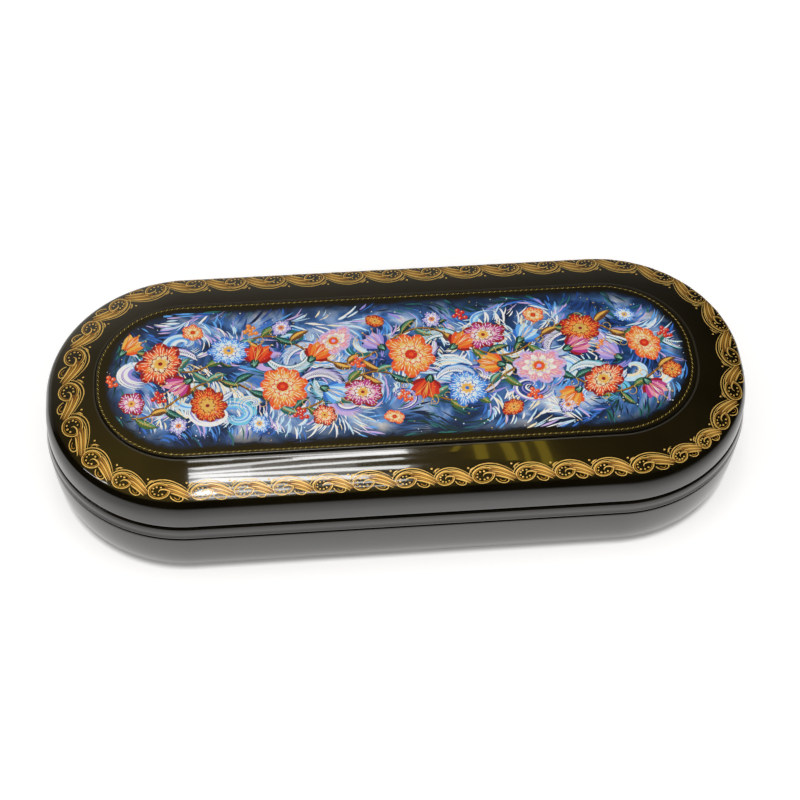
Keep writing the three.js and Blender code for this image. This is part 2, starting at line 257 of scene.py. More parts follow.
def around(middle, height, place):
    """Map of a band round the top: x runs round it at the middle inset, and place
    gives the inset from y and from the way that the rim faces there."""
    quarter = math.pi / 2 * (END_RADIUS - middle)
    lengths = np.array([2 * HALF_X, quarter, 2 * HALF_Y, quarter] * 2)
    starts = np.concatenate([[0], np.cumsum(lengths)])
    corners = np.array([(-1, -1), (1, -1), (1, 1), (-1, 1), (-1, -1)])

    def surface(xy, lift):
        along = np.mod(xy[:, 0], starts[-1])
        leg = np.clip(np.searchsorted(starts, along, side="right") - 1, 0, 7)
        part = (along - starts[leg]) / lengths[leg]
        straight = leg % 2 == 0
        begin, end = corners[leg // 2], corners[leg // 2 + 1]
        centre = begin + (end - begin) * np.where(straight, part, 1)[:, None]
        turn = leg // 2 + np.where(straight, 0, part)
        angle = -math.pi / 2 + turn * math.pi / 2
        out = np.column_stack([np.cos(angle), np.sin(angle)])
        inset = place(xy[:, 1], out[:, 0], out[:, 1])
        z, slope = height(inset)
        spot = centre * (HALF_X, HALF_Y) + out * (END_RADIUS - inset)[:, None]
        spot = spot + out * (lift * np.sin(slope))[:, None]
        return np.column_stack([spot, z + lift * np.cos(slope)])

    return surface, float(starts[-1])


# Brush work ---------------------------------------------------------------

class Painting:
    """Thin strokes, dots and fills on a surface, each in one paint."""

    def __init__(self, surface, level, step=0.00001, inside=None):
        self.surface = surface
        self.level = level
        self.step = step
        self.inside = inside
        self.verts = []
        self.faces = []
        self.slots = []
        self.paints = []
        self.count = 0

    def _add(self, rows, faces, paint):
        if paint not in self.paints:
            self.paints.append(paint)
        slot = self.paints.index(paint)
        self.verts.append(rows)
        self.faces.extend(tuple(self.count + i for i in face) for face in faces)
        self.slots.extend([slot] * len(faces))
        self.count += len(rows)
        self.level += self.step

    def stroke(self, points, width, paint, crown=0.0015, closed=False):
        points = np.asarray(points, float)
        if self.inside and not self.inside(points):
            return
        n = len(points)
        if closed:
            tangent = np.roll(points, -1, 0) - np.roll(points, 1, 0)
        else:
            tangent = np.gradient(points, axis=0)
        tangent /= np.maximum(np.linalg.norm(tangent, axis=1), 1e-9)[:, None]
        left = np.column_stack([-tangent[:, 1], tangent[:, 0]])
        half = np.broadcast_to(np.asarray(width, float) / 2, (n,))[:, None]
        flat = np.full(n, self.level)
        rows = np.vstack([
            self.surface(points + left * half, flat),
            self.surface(points, flat + crown),
            self.surface(points - left * half, flat),
        ])
        faces = []
        for i in range(n if closed else n - 1):
            j = (i + 1) % n
            faces.append((n + i, n + j, j, i))
            faces.append((2 * n + i, 2 * n + j, n + j, n + i))
            faces.append((i, j, 2 * n + j, 2 * n + i))
        if not closed:
            faces.append((0, 2 * n, n))
            faces.append((3 * n - 1, n - 1, 2 * n - 1))
        self._add(rows, faces, paint)

    def fill(self, outline, paint, crown=0.002):
        outline = np.asarray(outline, float)
        if self.inside and not self.inside(outline):
            return
        n = len(outline)
        middle = outline.mean(0)
        rows = np.vstack([
            self.surface(outline, np.full(n, self.level)),
            self.surface(middle + (outline - middle) * 0.55, np.full(n, self.level + crown)),
            self.surface(middle[None], np.array([self.level + crown])),
        ])
        faces = [(i, (i + 1) % n, n + (i + 1) % n, n + i) for i in range(n)]
        faces += [(n + i, n + (i + 1) % n, 2 * n) for i in range(n)]
        faces.append(tuple(reversed(range(n))))
        self._add(rows, faces, paint)

    def dot(self, centre, radius, paint, crown=0.002, sides=8):
        angle = np.arange(sides) * 2 * math.pi / sides
        ring = np.column_stack([np.cos(angle), np.sin(angle)]) * radius
        self.fill(np.asarray(centre) + ring, paint, crown)

    def build(self, name, materials):
        verts = np.vstack(self.verts)
        chosen = [materials[paint] for paint in self.paints]
        return make_object(name, verts, self.faces, chosen, self.slots, sharp=60)


def bezier(a, b, c, d, n=10):
    u = np.linspace(0, 1, n)[:, None]
    a, b, c, d = (np.asarray(p, float) for p in (a, b, c, d))
    return a * (1 - u) ** 3 + 3 * b * u * (1 - u) ** 2 + 3 * c * u ** 2 * (1 - u) + d * u ** 3


def taper(n, start=0.25, end=0.1, peak=0.4):
    """Width of a brush stroke along its length, 1 at its widest."""
    u = np.linspace(0, 1, n)
    rise = start + (1 - start) * np.sin(np.clip(u / peak, 0, 1) * math.pi / 2)
    fall = end + (1 - end) * np.cos(np.clip((u - peak) / (1 - peak), 0, 1) * math.pi / 2)
    return np.minimum(rise, fall)


def heading(angle):
    return np.array([math.cos(angle), math.sin(angle)])


def curve(start, angle, length, curl, n=8, tighten=1.0):
    """Points of a stroke that starts at an angle and turns by curl on its way."""
    points = [np.asarray(start, float)]
    for i in range(n - 1):
        turn = angle + curl * ((i + 0.5) / (n - 1)) ** tighten
        points.append(points[-1] + heading(turn) * length / (n - 1))
    return np.array(points)


# Materials ----------------------------------------------------------------

def material(name, **sockets):
    made = bpy.data.materials.new(name)
    made.use_nodes = True
    shader = made.node_tree.nodes["Principled BSDF"]
    for socket, value in sockets.items():
        socket = socket.replace("_", " ")
        if isinstance(value, tuple):
            value = (*value, 1.0)
        shader.inputs[socket].default_value = value
    return made


def add_node(made, kind, inputs=(), **settings):
    node = made.node_tree.nodes.new(kind)
    for key, value in settings.items():
        setattr(node, key, value)
    for key, value in dict(inputs).items():
        if isinstance(value, Number):
            value = value.socket
        if isinstance(value, bpy.types.NodeSocket):
            made.node_tree.links.new(value, node.inputs[key])
        else:
            node.inputs[key].default_value = value
    return node


class Number:
    """A number in a node tree. Arithmetic with it adds Math nodes."""

    def __init__(self, made, socket):
        self.made = made
        self.socket = socket

    def math(self, operation, other=0.0, clamp=False):
        inputs = {0: self, 1: other}
        node = add_node(
            self.made, "ShaderNodeMath", inputs, operation=operation, use_clamp=clamp,
        )
        return Number(self.made, node.outputs[0])

    def __add__(self, other):
        return self.math("ADD", other)

    def __sub__(self, other):
        return self.math("SUBTRACT", other)

    def __rsub__(self, other):
        return self * -1.0 + other

    def __mul__(self, other):
        return self.math("MULTIPLY", other)

    def __pow__(self, other):
        return self.math("POWER", other)

    def __abs__(self):
        return self.math("ABSOLUTE")

    def at_least(self, other):
        return self.math("MAXIMUM", other)

    def at_most(self, other):
        return self.math("MINIMUM", other)

    def rise(self, start, gain):
        """0 up to the start, then growing by gain up to 1."""
        return (self - start).math("MULTIPLY", gain, clamp=True)


def split(made, place):
    parts = add_node(made, "ShaderNodeSeparateXYZ", {0: place}).outputs
    return [Number(made, parts[axis]) for axis in "XYZ"]


def noise(made, scale, detail=3.0, distortion=0.0, vector=None):
    if vector is None:
        vector = add_node(made, "ShaderNodeTexCoord").outputs["Object"]
    inputs = {"Vector": vector, "Scale": scale, "Detail": detail, "Distortion": distortion}
    return Number(made, add_node(made, "ShaderNodeTexNoise", inputs).outputs["Fac"])


def ramp(made, factor, stops):
    node = add_node(made, "ShaderNodeValToRGB", {"Fac": factor})
    elements = node.color_ramp.elements
    while len(elements) < len(stops):
        elements.new(0.5)
    for element, (place, colour) in zip(elements, stops):
        element.position = place
        element.color = (*colour, 1.0)
    return node.outputs["Color"]


def link(made, output, socket):
    shader = made.node_tree.nodes["Principled BSDF"]
    made.node_tree.links.new(output, shader.inputs[socket])


def bump(made, height, strength, distance):
    inputs = {"Height": height, "Strength": strength, "Distance": distance}
    node = add_node(made, "ShaderNodeBump", inputs)
    link(made, node.outputs["Normal"], "Normal")


CLEAR_COAT = {"Coat_Weight": 1.0, "Coat_Roughness": 0.02, "Coat_IOR": 1.5}


def lacquer(name):
    made = material(name, Roughness=0.06, IOR=1.5, **CLEAR_COAT)
    tint = ramp(made, noise(made, 55, 4, 0.6), [
        (0.35, (0.0035, 0.0027, 0.0012)),
        (0.7, (0.0065, 0.005, 0.002)),
    ])
    link(made, tint, "Base Color")
    bump(made, noise(made, 90, 1), 0.06, 0.0004)
    return made


def velvet(name, dark, light):
    made = material(
        name, Roughness=0.9, Sheen_Weight=0.7, Sheen_Roughness=0.35, Sheen_Tint=(1, 0.35, 0.3),
    )
    tint = ramp(made, noise(made, 90, 3, 1.2), [(0.3, dark), (0.7, light)])
    link(made, tint, "Base Color")
    bump(made, noise(made, 5200, 2), 0.5, 0.0002)
    return made


def brass(name):
    made = material(name, Metallic=1.0)
    wear = noise(made, 420, 4, 0.4)
    tint = ramp(made, wear, [(0.3, (0.5, 0.33, 0.13)), (0.7, (0.76, 0.56, 0.26))])
    link(made, tint, "Base Color")
    link(made, ramp(made, wear, [(0.3, (0.42,) * 3), (0.7, (0.24,) * 3)]), "Roughness")
    bump(made, noise(made, 2600, 2), 0.15, 0.0001)
    return made


black = lacquer("black_lacquer")
red_velvet = velvet("red_velvet", (0.185, 0.007, 0.013), (0.265, 0.012, 0.02))
hinge_brass = brass("hinge_brass")


# Case ---------------------------------------------------------------------

def dress(obj, body, slot, *nodes):
    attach(obj, body)
    if nodes:
        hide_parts(*nodes)
    return obj


def belly(z):
    """Inset of the base wall's quarter-ellipse at a height."""
    return BASE_STEP + BELLY_DEPTH * (1 - math.sqrt(1 - (1 - z / BELLY_HEIGHT) ** 2))


# Edges that the CAD leaves nearly square are turned over more softly here.
BASE_EDGE = 0.8
RIM_FOOT_ROUND = 0.4
RIM_FOOT_RISE = 1.2
RIM_WAIST = 0.2
RIM_BULGE = 0.5
LIP_ROUND = 0.4
TOP_LEAN = 26
LID_FOOT_ROUND = 0.65
LID_FOOT = LID_BOTTOM + 0.18
GROOVE_INSET = PANEL_MARGIN - 0.12
GROOVE_LIP = 0.1
STEP_WIDTH = 0.35
STEP_DROP = 0.1

pocket_foot = PIN_Z - BASE_LEAF - SEAT_GAP
belly_heights = [BELLY_HEIGHT * (1 - math.cos(math.pi / 2 * step / 34)) for step in range(35)]
base_profile = [
    *((belly(z), z, True) for z in belly_heights if z < pocket_foot - 0.1),
    (belly(pocket_foot - 0.01), pocket_foot - 0.01, True),
    (belly(pocket_foot), pocket_foot),
    *((belly(z), z) for z in belly_heights if z > pocket_foot + 0.1),
    *arc(BASE_STEP + BASE_EDGE, BASE_HEIGHT - BASE_EDGE, BASE_EDGE, 0, 90, 8),
    (LIP_FACE - SEAT_GAP, BASE_HEIGHT),
    (LIP_FACE - SEAT_GAP, BASE_HEIGHT - TONGUE),
    (INNER_FACE, BASE_HEIGHT - TONGUE),
    (INNER_FACE, FLOOR),
]
base = loft("base", base_profile, [black], pockets=True)
dress(base, "base", "black_lacquer", "base_shell")

waist_start = RIM_BOTTOM + RIM_FOOT_ROUND
bulge_rise = RIM_TOP - waist_start - RIM_FOOT_RISE
rim_profile = [
    *arc(RIM_FOOT_ROUND, waist_start, RIM_FOOT_ROUND, -90, -15, 5),
    *(
        (RIM_WAIST * (1 - (1 - part) ** 2), waist_start + RIM_FOOT_RISE * part)
        for part in np.linspace(0, 1, 8)[:-1]
    ),
    *(
        (RIM_WAIST + RIM_BULGE * (1 - math.cos(a)), RIM_TOP - bulge_rise * (1 - math.sin(a)))
        for a in np.linspace(0, math.pi / 2, 14)
    ),
    (LIP_FACE, RIM_TOP),
    *arc(LIP_FACE + LIP_ROUND, LIP_TOP - LIP_ROUND, LIP_ROUND, 0, 90, 4),
    (INNER_FACE, LIP_TOP),
    (INNER_FACE, BASE_HEIGHT - TONGUE + SEAT_GAP),
    (LIP_FACE, BASE_HEIGHT - TONGUE + SEAT_GAP),
    (LIP_FACE, RIM_BOTTOM),
]
rim = loft("rim", rim_profile, [black], closed=True, pockets=True)
dress(rim, "base", "black_lacquer", "rim_ring")

top_lean = math.radians(TOP_LEAN)
top_inset = SHOULDER_INSET - SHOULDER_ROUND * math.cos(top_lean) - LID_STEP
top_rise = SHOULDER_Z + SHOULDER_ROUND * math.sin(top_lean) - WALL_FOOT
bow = math.tan(top_lean) * top_rise / top_inset
lean_wall = [
    (LID_STEP + top_inset * part ** bow, WALL_FOOT + top_rise * part)
    for part in np.linspace(0, 1, 20)[3:-1]
]
step_start = GROOVE_INSET - STEP_WIDTH
dome = [(t, lid_top(t)) for t in np.linspace(DOME_START, step_start, 26)[1:]]
step = []
for part in (0.12, 0.25, 0.4, 0.55, 0.7, 0.85, 1.0):
    inset = step_start + STEP_WIDTH * part
    step.append((inset, lid_top(inset) - STEP_DROP * part ** 1.25))
lid_profile = [
    (INNER_FACE + COVE_WIDTH, CEILING),
    (INNER_FACE, CEILING - COVE_DROP),
    (INNER_FACE, LID_LEDGE),
    (LIP_FACE - LIP_GAP, LID_LEDGE),
    (LIP_FACE - LIP_GAP, LID_BOTTOM),
    *arc(LID_STEP + LID_FOOT_ROUND, LID_FOOT + LID_FOOT_ROUND, LID_FOOT_ROUND, -90, 0, 8),
    *lean_wall,
    *arc(SHOULDER_INSET, SHOULDER_Z, SHOULDER_ROUND, TOP_LEAN, 72, 26),
    *dome,
    *step,
    (GROOVE_INSET + 0.02, step[-1][1] - GROOVE_LIP),
    (GROOVE_INSET, RECESS_FLOOR),
]
lid = loft("lid", lid_profile, [black], pockets=True)
dress(lid, "lid", "black_lacquer", "lid_shell")

# Linings: a wall strip with a rolled top, a padded floor and a lid cup.
LINING = 0.9
LINING_FACE = INNER_FACE + SEAT_GAP
STRIP_DROP = 1.2
PAD_THICKNESS = 1.4
PAD_ROUND = 0.7
PAD_BOTTOM = FLOOR + SEAT_GAP
PAD_TOP = PAD_BOTTOM + PAD_THICKNESS
strip_top = LIP_TOP - STRIP_DROP
strip = loft("base_wall_lining", [
    (LINING_FACE, PAD_BOTTOM),
    *arc(LINING_FACE + LINING / 2, strip_top - LINING / 2, LINING / 2, 0, 180, 10),
    (LINING_FACE + LINING, PAD_BOTTOM),
], [red_velvet], closed=True)
dress(strip, "base", "red_velvet", "base_wall_lining")

pad_side = LINING_FACE + LINING + SEAT_GAP
pad = loft("base_floor_pad", [
    (pad_side, PAD_BOTTOM),
    *arc(pad_side + PAD_ROUND, PAD_TOP - PAD_ROUND - 0.05, PAD_ROUND, 0, 85, 8),
    (pad_side + 3.5, PAD_TOP - 0.01),
    (pad_side + 12, PAD_TOP),
], [red_velvet])
dress(pad, "base", "red_velvet", "base_floor_pad")

lining_top = CEILING - SEAT_GAP
lid_cup = loft("lid_lining", [
    (LINING_FACE + COVE_WIDTH + LINING / 2, lining_top - LINING),
    (LINING_FACE + 4.2, lining_top - LINING - 0.35),
    (LINING_FACE + 2.2, lining_top - LINING - 0.95),
    (LINING_FACE + LINING + 0.25, lining_top - LINING - COVE_DROP + 0.35),
    (LINING_FACE + LINING, lining_top - LINING - COVE_DROP),
    *arc(LINING_FACE + LINING / 2, LID_LEDGE + LINING / 2, LINING / 2, 180, 360, 8),
    (LINING_FACE, lining_top - COVE_DROP),
    (LINING_FACE + COVE_WIDTH, lining_top),
], [red_velvet])
dress(lid_cup, "lid", "red_velvet", "lid_lining")


# Picture panel ------------------------------------------------------------

def spine_reach(made, place):
    """Distance on the plan from the flat spine that the round ends turn about."""
    x, y, _ = split(made, place)
    dx = (abs(x) - HALF_X * MM).at_least(0.0)
    dy = (abs(y) - HALF_Y * MM).at_least(0.0)
    return (dx * dx + dy * dy).math("SQRT")


def blend_colours(made, factor, first, second):
    inputs = {"Factor": factor, "A": first, "B": (*second, 1.0)}
    return add_node(made, "ShaderNodeMix", inputs, data_type="RGBA").outputs["Result"]


# Reach from the spine, in metres, where the picture darkens and where it ends.
DUSK_REACH = 0.0145
BLACK_REACH = 0.0183


def picture_ground(name):
    """Blues and snow tones that darken towards black lacquer at the rim."""
    made = material(name, Roughness=0.16, **CLEAR_COAT)
    place = add_node(made, "ShaderNodeTexCoord").outputs["Object"]
    wander = (noise(made, 260, 4, 0.8, place) - 0.5) * 0.0025
    reach = spine_reach(made, place) + wander
    tones = ramp(made, noise(made, 62, 5, 1.6, place), [
        (0.32, (0.004, 0.014, 0.04)),
        (0.42, (0.012, 0.05, 0.16)),
        (0.5, (0.06, 0.17, 0.42)),
        (0.6, (0.3, 0.42, 0.64)),
        (0.7, (0.76, 0.73, 0.7)),
    ])
    tones = blend_colours(made, reach.rise(DUSK_REACH, 240.0), tones, (0.004, 0.016, 0.045))
    tones = blend_colours(made, reach.rise(BLACK_REACH, 900.0), tones, (0.004, 0.0032, 0.0018))
    link(made, tones, "Base Color")
    return made


crown_profile = [
    (t, float(crown_height(t))) for t in np.linspace(CROWN_START, CROWN_END, 28)
]
panel = loft("picture_panel", [
    (PANEL_MARGIN, RECESS_FLOOR + SEAT_GAP),
    (PANEL_MARGIN, PANEL_EDGE - PANEL_BEVEL),
    *arc(PANEL_MARGIN + PANEL_BEVEL, PANEL_EDGE - PANEL_BEVEL, PANEL_BEVEL, 15, 75, 5),
    *crown_profile,
], [picture_ground("picture_ground")])
dress(panel, "lid", "picture_paint", "picture_panel")


def paint(name, colour, metallic=0.0, roughness=0.3):
    return material(
        name, Base_Color=colour, Metallic=metallic, Roughness=roughness,
        Coat_Weight=0.6, Coat_Roughness=0.03, Coat_IOR=1.5,
    )


PAINTS = {
    "navy": (0.004, 0.014, 0.05),
    "deep_blue": (0.01, 0.05, 0.24),
    "blue": (0.03, 0.16, 0.58),
    "sky": (0.11, 0.38, 0.82),
    "cyan": (0.16, 0.58, 0.78),
    "ice": (0.55, 0.75, 0.86),
    "white": (0.84, 0.83, 0.81),
    "lavender": (0.33, 0.28, 0.7),
    "lilac": (0.58, 0.42, 0.75),
    "magenta": (0.5, 0.04, 0.24),
    "pink": (0.78, 0.3, 0.42),
    "crimson": (0.3, 0.006, 0.012),
    "red": (0.62, 0.02, 0.012),
    "scarlet": (0.8, 0.09, 0.02),
    "orange": (0.82, 0.24, 0.03),
    "amber": (0.82, 0.45, 0.08),
    "cream": (0.85, 0.74, 0.5),
    "brown": (0.14, 0.045, 0.015),
    "pine": (0.004, 0.04, 0.035),
    "teal": (0.012, 0.14, 0.13),
    "moss": (0.05, 0.13, 0.03),
    "leaf": (0.1, 0.3, 0.14),
    "mint": (0.25, 0.55, 0.4),
}
PAINTS = {key: paint("paint_" + key, colour) for key, colour in PAINTS.items()}
for key, colour, metallic, roughness in (
    ("gold", (0.72, 0.36, 0.045), 0.65, 0.42),
    ("pale_gold", (0.97, 0.62, 0.16), 0.5, 0.4),
    ("bronze", (0.2, 0.08, 0.012), 0.4, 0.42),
    ("old_gold", (0.2, 0.14, 0.03), 0.5, 0.4),
    ("rope_gold", (0.72, 0.55, 0.13), 0.5, 0.38),
):
    PAINTS[key] = paint(key + "_paint", colour, metallic, roughness)

# Where the painting ends, the height of one coat, and the level above the panel
# at which each kind of motif starts, from the ground up.
PICTURE_INSET = 15.6
COAT = 0.003
SCROLLS = 0.034
PLUMES = 0.046
VINES = 0.062
LEAVES = 0.068
BELLS = 0.078
BLOSSOMS = 0.08
SPARKS = 0.118
PICTURE_HALF_X = 70
WIND_STROKES = 2600
SPARK_COUNT = 520


def in_picture(points):
    return float(inset_of(points).min()) > PICTURE_INSET


def aslant(points, centre, way, squash):
    """Points of a flower that faces a little aside: squashed across one way."""
    axis = heading(way)
    return points - ((1 - squash) * (points - centre) @ axis)[:, None] * axis


def blossom(art, rng, centre, radius, tones, petals):
    """Open flower: a skirt of petals, one or two inner rings and a beaded heart."""
    centre = np.asarray(centre, float)
    dark, mid, light, edge, heart = tones
    lean = rng.random() * 2
    way = rng.random() * math.pi
    squash = rng.uniform(0.68, 0.95)
    sector = 2 * math.pi / petals

    def brush(line, width, tone):
        art.stroke(aslant(line, centre, way, squash), width, tone)

    art.level = BLOSSOMS
    rings = [(1.0, 0.0, dark, mid), (0.7, 0.5, mid, light)]
    if radius > 4.5:
        rings.append((0.44, 0.2, dark, edge))
    for size, offset, first, second in rings:
        reach = radius * size
        lengths = [rng.uniform(0.84, 1.08) for _ in range(petals)]
        for tone, share, width in ((first, 1.0, 0.98), (second, 0.88, 0.58)):
            for k in range(petals):
                angle = lean + (k + offset) * sector
                bend = 0.25 + 0.2 * rng.random()
                start = centre + heading(angle) * reach * 0.12
                line = curve(start, angle - bend / 2, reach * share * 0.88 * lengths[k], bend)
                wide = sector * reach * width * 0.82
                brush(line, wide * taper(8, 0.25, 0.3, 0.66), tone)
            art.level += COAT
        for k in range(petals):
            angle = lean + (k + offset) * sector
            for fan in (-0.28, -0.1, 0.1, 0.28):
                spread = fan * sector * 1.6
                start = centre + heading(angle + spread * 0.5) * reach * 0.42
                length = reach * lengths[k] * (0.34 + 0.08 * rng.random())
                line = curve(start, angle + spread, length, spread * 0.5 + 0.2, 6)
                brush(line, 0.24 * taper(6, 0.3, 0.3, 0.6), edge)
            for side in (-1, 1):
                tip = centre + heading(angle + side * 0.9 / petals) * reach * lengths[k] * 0.84
                line = curve(tip, angle + side * 1.0, reach * 0.13, -side * 1.4, 5)
                brush(line, 0.2 * taper(5, 0.6, 0.3, 0.4), edge)
        art.level += COAT
    art.dot(centre, radius * 0.22, heart, sides=14)
    art.level += COAT
    for k in range(9):
        angle = lean + k * 2 * math.pi / 9
        art.dot(centre + heading(angle) * radius * 0.24, radius * 0.05, "pale_gold", sides=6)
    art.dot(centre, radius * 0.09, dark)


def bell(art, rng, root, angle, size, tones):
    """Flower seen from the side: a fan of long petals out of a striped cup."""
    dark, mid, light, edge, heart = tones
    root = np.asarray(root, float)
    ahead = heading(angle) * size
    for k, tone in ((-3, dark), (3, dark), (-2, mid), (2, mid), (-1, light), (1, light), (0, mid)):
        art.level = BELLS + (3 - abs(k)) * 2 * COAT
        length = size * (1 - 0.035 * k * k) * rng.uniform(0.92, 1.06)
        line = curve(root, angle + 0.1 * k, length, 0.42 * k, 10)
        art.stroke(line, size * 0.34 * taper(10, 0.25, 0.12, 0.68), tone)
        art.level += COAT
        for shift in (-0.12, 0, 0.12):
            way = angle + 0.17 * k + shift
            vein = curve(root + ahead * 0.3, way, length * 0.58, 0.34 * k, 7)
            art.stroke(vein, 0.2 * taper(7, 0.3, 0.2, 0.6), edge)
    art.level = BELLS + 8 * COAT
    cup = curve(root - ahead * 0.1, angle, size * 0.36, 0, 6)
    art.stroke(cup, size * 0.34 * taper(6, 0.4, 0.5, 0.6), "pine")
    art.level += COAT
    for side in (-1, 0, 1):
        rib = curve(root - ahead * 0.06, angle + 0.4 * side, size * 0.3, -0.3 * side, 5)
        art.stroke(rib, 0.2 * taper(5), "mint")
    for k in (-1, 0, 1):
        stamen = curve(root + ahead * 0.2, angle + 0.3 * k, size * 0.9, 0.3 * k, 7)
        art.stroke(stamen, 0.12, heart)
        art.dot(stamen[-1], 0.26, "pale_gold")


def leaf(art, start, angle, length, width, tones, bend):
    dark, light, vein = tones
    line = curve(start, angle, length, bend, 10)
    if not in_picture(line):
        return
    art.level = LEAVES
    art.stroke(line, width * taper(10, 0.15, 0.04, 0.42), dark)
    side = np.array([-math.sin(angle + bend / 2), math.cos(angle + bend / 2)])
    art.level = LEAVES + COAT
    art.stroke(line[1:9] + side * width * 0.14, width * 0.34 * taper(8, 0.2, 0.1, 0.45), light)
    art.level = LEAVES + 2 * COAT
    art.stroke(line[:9], 0.13 * taper(9, 1, 0.4, 0.3), vein)
    for k in range(2, 7):
        way = math.atan2(*(line[k + 1] - line[k])[::-1])
        for hand in (-1, 1):
            rib = curve(line[k], way + hand * 0.75, width * 0.42 * (1 - k / 12), -hand * 0.4, 4)
            art.stroke(rib, 0.09 * taper(4, 0.9, 0.3, 0.2), vein)


def plume(art, rng, root, angle, length, curl, tones, hand):
    """Frost feather: a curling spine with fine barbs, pale over dark."""
    n = 26
    spine = curve(root, angle, length, curl, n, 1.25)
    for layer, (tone, width) in enumerate(zip(tones, (0.62, 0.34, 0.2))):
        art.level = PLUMES + layer * COAT
        for k in range(1, n - 1):
            way = math.atan2(*(spine[k + 1] - spine[k - 1])[::-1])
            size = length * 0.36 * math.sin(math.pi * (0.12 + 0.86 * k / (n - 1))) ** 0.8
            size *= (1 - 0.12 * layer) * (0.88 + 0.24 * rng.random())
            for side, part in ((hand, 1.0), (-hand, 0.42)):
                line = curve(spine[k], way + side * 0.85, size * part, -side * 1.15, 7)
                art.stroke(line, width * taper(7, 0.5, 0.12, 0.35), tone)
    art.level = PLUMES + 3 * COAT
    art.stroke(spine, 0.3 * taper(n, 0.7, 0.3, 0.3), tones[-1])


def frost_scroll(art, rng, centre, size, angle, turn, tones):
    """Curl of snow wind: brush lines side by side that wind in to one eye."""
    strands = 7
    u = np.linspace(0, 1, 22)
    for k in range(strands):
        art.level = SCROLLS + (k % 2) * COAT
        reach = size * (1 - 0.085 * k) * (1 - u) ** 0.75 + 0.2
        sweep = angle + turn * u * (1 - 0.03 * k) + 0.12 * k
        spokes = np.column_stack([np.cos(sweep), 0.8 * np.sin(sweep)])
        line = np.asarray(centre) + spokes * reach[:, None]
        tone = tones[int(rng.random() * len(tones))]
        art.stroke(line, 0.085 * size * rng.uniform(0.7, 1.3) * taper(22, 0.1, 0.2, 0.35), tone)


def berries(art, centre, tone, count=7, spread=1.8):
    for k in range(count):
        place = np.asarray(centre) + heading(k * 2.4) * spread * math.sqrt(k / count)
        art.level = BELLS + k * COAT / 2
        art.dot(place, 0.62, tone, sides=10)
        art.level += COAT
        art.dot(place + (-0.16, 0.18), 0.17, "cream", sides=6)


def wind(art, rng):
    """Soft swept strokes behind the flowers, from dark pine to pale drifts."""
    shades = [
        ("navy", "pine", "teal"),
        ("deep_blue", "navy", "teal"),
        ("blue", "deep_blue", "lavender"),
        ("sky", "blue", "lilac"),
        ("ice", "white", "lilac"),
        ("white", "cream", "ice"),
    ]
    for _ in range(WIND_STROKES):
        x = rng.uniform(-PICTURE_HALF_X, PICTURE_HALF_X)
        y = rng.uniform(-21, 21)
        sway = field.noise(Vector((x * 0.045, y * 0.07, 1.7)))
        light = field.noise(Vector((x * 0.05 + 9, y * 0.075, 4.2)))
        light += 0.2 * field.noise(Vector((x * 0.3, y * 0.3, 8.0)))
        border = max(0.0, 20.0 - inset_of(np.array([[x, y]]))[0])
        rank = min(len(shades) - 1, max(0, int(3.4 + 6.4 * light - 0.8 * border)))
        tone = shades[rank][rng.choice((0, 0, 1, 2))]
        line = curve((x, y), sway * 3.4, rng.uniform(2.0, 5.5), sway * 2.2, 7)
        art.stroke(line, rng.uniform(0.22, 0.6) * taper(7, 0.2, 0.1, 0.45), tone)


def vine_at(x, row):
    return np.array([x, row * 6.5 + 5.0 * math.sin((x + 66 + 13 * row) * 2 * math.pi / 38)])


